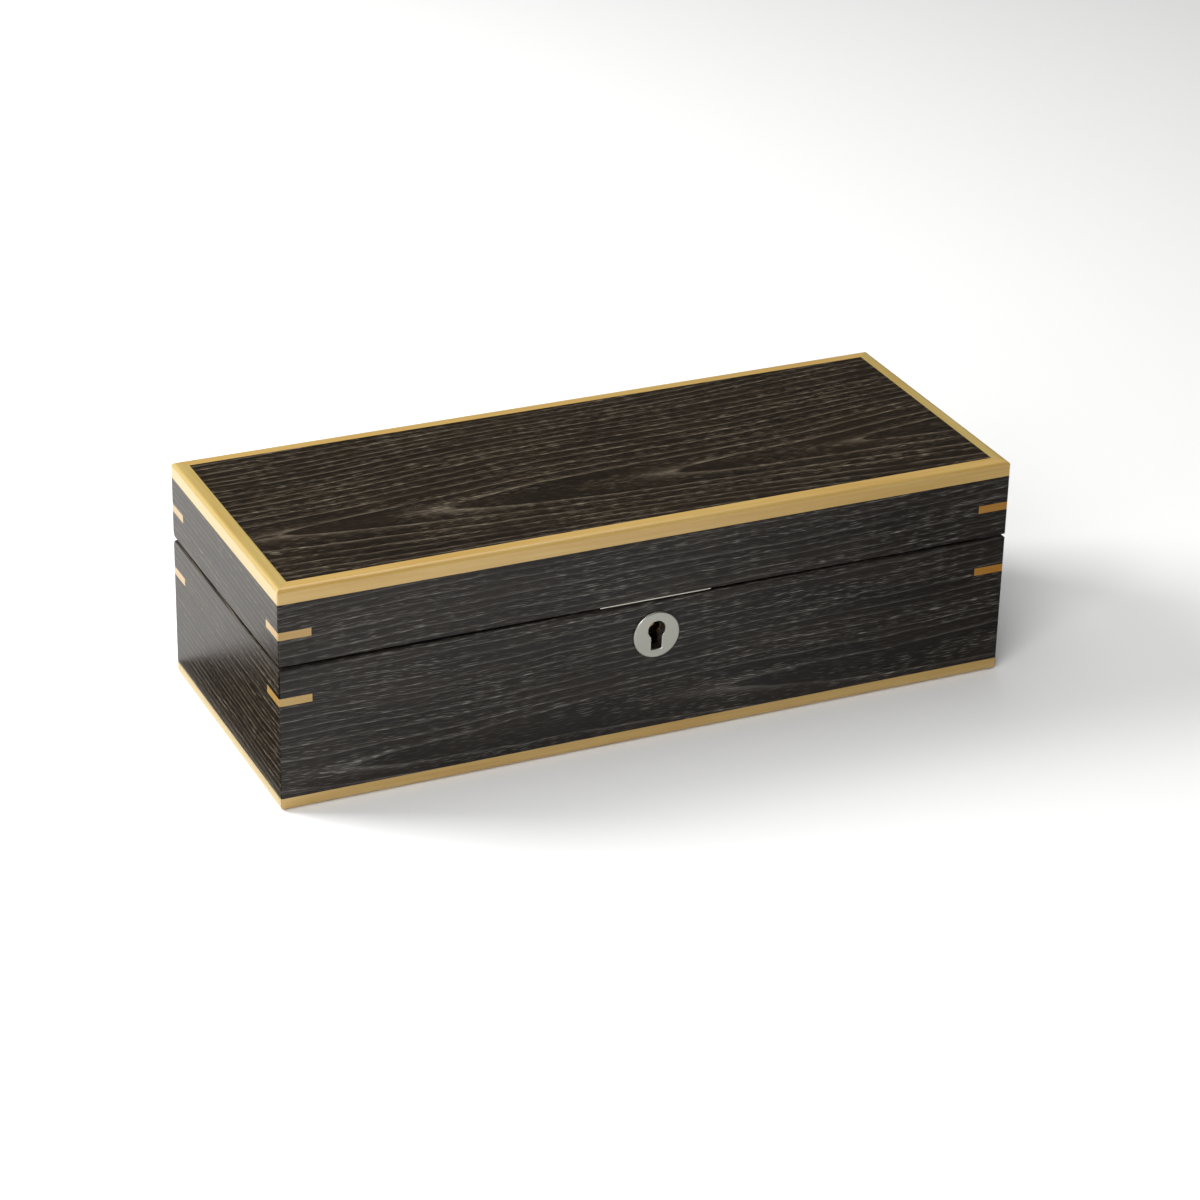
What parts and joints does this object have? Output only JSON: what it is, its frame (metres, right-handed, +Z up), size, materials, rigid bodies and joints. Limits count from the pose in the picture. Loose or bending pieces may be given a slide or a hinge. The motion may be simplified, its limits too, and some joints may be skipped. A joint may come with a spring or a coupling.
{
  "type": "inlaid wooden box",
  "caption": "Low lidded wooden case in dark oak veneer with maple edging and corner keys, a front lock with a round escutcheon, stop hinges, and a lined inside with cushions.",
  "frame": {"origin": "middle of the underside, in the plane the case stands on", "axes": "+X along the case to its right end, -Y towards the front with the lock, +Z up"},
  "size_m": [0.315, 0.1257, 0.095],
  "materials": {
    "dark_oak_veneer": "satin",
    "maple": "satin",
    "lining_fabric": "suede",
    "cushion_fabric": "suede",
    "felt": "matte",
    "satin_nickel": "satin",
    "nickel_plated_steel": "satin",
    "brass": "satin"
  },
  "bodies": {
    "base": {"base_front_wall": "dark_oak_veneer", "base_back_wall": "dark_oak_veneer", "base_left_wall": "dark_oak_veneer", "base_right_wall": "dark_oak_veneer", "base_bottom_panel": "dark_oak_veneer", "base_corner_keys": "maple", "underside_felt": "felt", "base_edging_front": "maple", "base_edging_back": "maple", "base_edging_left": "maple", "base_edging_right": "maple", "liner_front": "lining_fabric", "liner_back": "lining_fabric", "liner_left": "lining_fabric", "liner_right": "lining_fabric", "floor_lining": "lining_fabric", "divider_1": "lining_fabric", "divider_2": "lining_fabric", "divider_3": "lining_fabric", "divider_4": "lining_fabric", "cushion_1": "cushion_fabric", "cushion_2": "cushion_fabric", "cushion_3": "cushion_fabric", "cushion_4": "cushion_fabric", "cushion_5": "cushion_fabric", "hinge_left_base_leaf": "nickel_plated_steel", "hinge_right_base_leaf": "nickel_plated_steel", "hinge_left_pin": "nickel_plated_steel", "hinge_right_pin": "nickel_plated_steel", "hinge_base_screws": "nickel_plated_steel", "lock_case": "brass", "lock_back_plate": "nickel_plated_steel", "lock_case_screws": "nickel_plated_steel", "lock_drill_pin": "brass", "lock_face_plate": "nickel_plated_steel", "lock_face_screws": "nickel_plated_steel", "escutcheon": "satin_nickel"},
    "lid": {"lid_front_wall": "dark_oak_veneer", "lid_back_wall": "dark_oak_veneer", "lid_left_wall": "dark_oak_veneer", "lid_right_wall": "dark_oak_veneer", "lid_top_panel": "dark_oak_veneer", "lid_corner_keys": "maple", "lid_edging_front": "maple", "lid_edging_back": "maple", "lid_edging_left": "maple", "lid_edging_right": "maple", "lid_pad": "lining_fabric", "lid_wall_linings": "lining_fabric", "hinge_left_lid_leaf": "nickel_plated_steel", "hinge_right_lid_leaf": "nickel_plated_steel", "hinge_lid_screws": "nickel_plated_steel", "keeper_plate": "nickel_plated_steel", "keeper_screws": "nickel_plated_steel"},
    "bolt": {"lock_bolt": "brass", "lock_bolt_spring": "brass"}
  },
  "joints": [
    {"name": "lid_hinge", "type": "hinge", "parent": "base", "child": "lid", "pos_m": [0, 0.05975, 0.0617], "axis": [-1, 0, 0], "range_deg": [0, 97]},
    {"name": "bolt_slide", "type": "slide", "parent": "base", "child": "bolt", "axis": [1, 0, 0], "range_m": [0, 0.004]}
  ]
}
